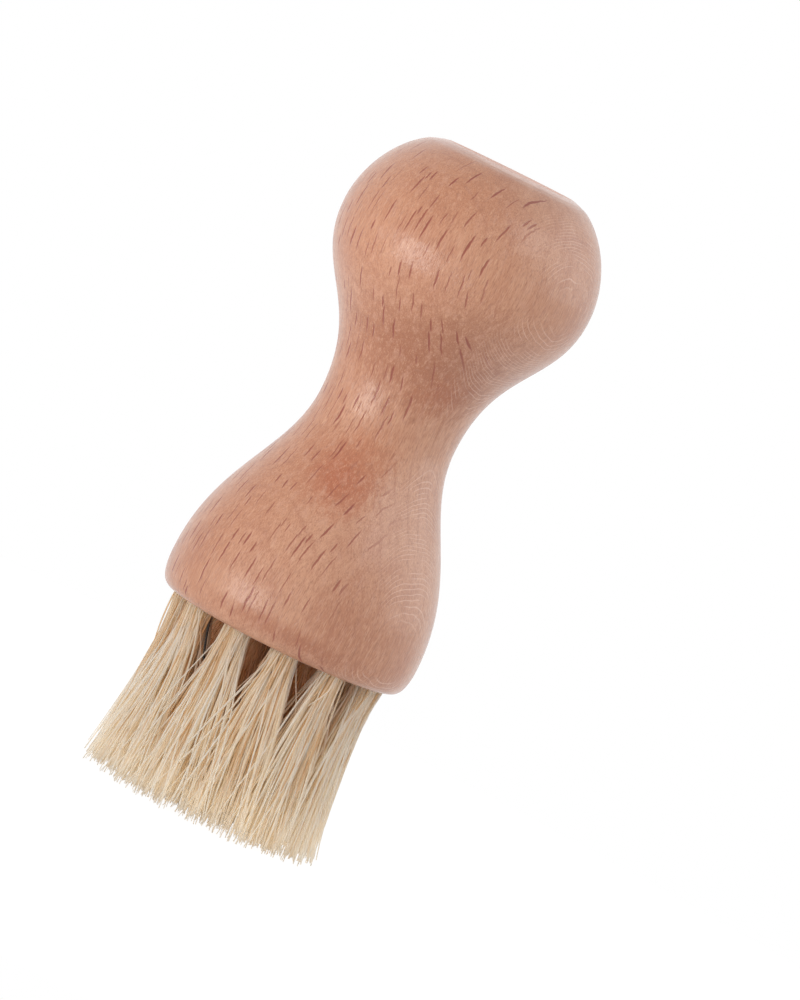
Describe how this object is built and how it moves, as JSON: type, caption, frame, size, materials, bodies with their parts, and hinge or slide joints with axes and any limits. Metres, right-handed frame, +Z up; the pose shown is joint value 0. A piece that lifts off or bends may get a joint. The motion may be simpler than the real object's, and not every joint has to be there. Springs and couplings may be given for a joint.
{
  "type": "sneaker cleaning brush",
  "caption": "Small upright hand brush: a turned wooden handle with round knob, waist and flared round head, and natural bristle tufts set in its flat face.",
  "frame": {"origin": "on the turning axis, at the level of the trimmed bristle tips that the brush stands on", "axes": "+Z up the turning axis from the bristle tips to the knob's flat end; -Y towards the pictured front; +X to its right"},
  "size_m": [0.0422, 0.0422, 0.11],
  "materials": {
    "beech": "clear satin lacquer on turned beech",
    "bristle": "natural cream bristle, slightly glossy",
    "anchor_steel": "plain flat wire"
  },
  "bodies": {
    "root": {"handle": "beech", "tuft_01": "bristle", "tuft_02": "bristle", "tuft_03": "bristle", "tuft_04": "bristle", "tuft_05": "bristle", "tuft_06": "bristle", "tuft_07": "bristle", "tuft_08": "bristle", "tuft_09": "bristle", "tuft_10": "bristle", "tuft_11": "bristle", "tuft_12": "bristle", "tuft_13": "bristle", "tuft_14": "bristle", "tuft_15": "bristle", "tuft_16": "bristle", "tuft_17": "bristle", "tuft_18": "bristle", "tuft_19": "bristle", "anchor_01": "anchor_steel", "anchor_02": "anchor_steel", "anchor_03": "anchor_steel", "anchor_04": "anchor_steel", "anchor_05": "anchor_steel", "anchor_06": "anchor_steel", "anchor_07": "anchor_steel", "anchor_08": "anchor_steel", "anchor_09": "anchor_steel", "anchor_10": "anchor_steel", "anchor_11": "anchor_steel", "anchor_12": "anchor_steel", "anchor_13": "anchor_steel", "anchor_14": "anchor_steel", "anchor_15": "anchor_steel", "anchor_16": "anchor_steel", "anchor_17": "anchor_steel", "anchor_18": "anchor_steel", "anchor_19": "anchor_steel"}
  },
  "joints": []
}
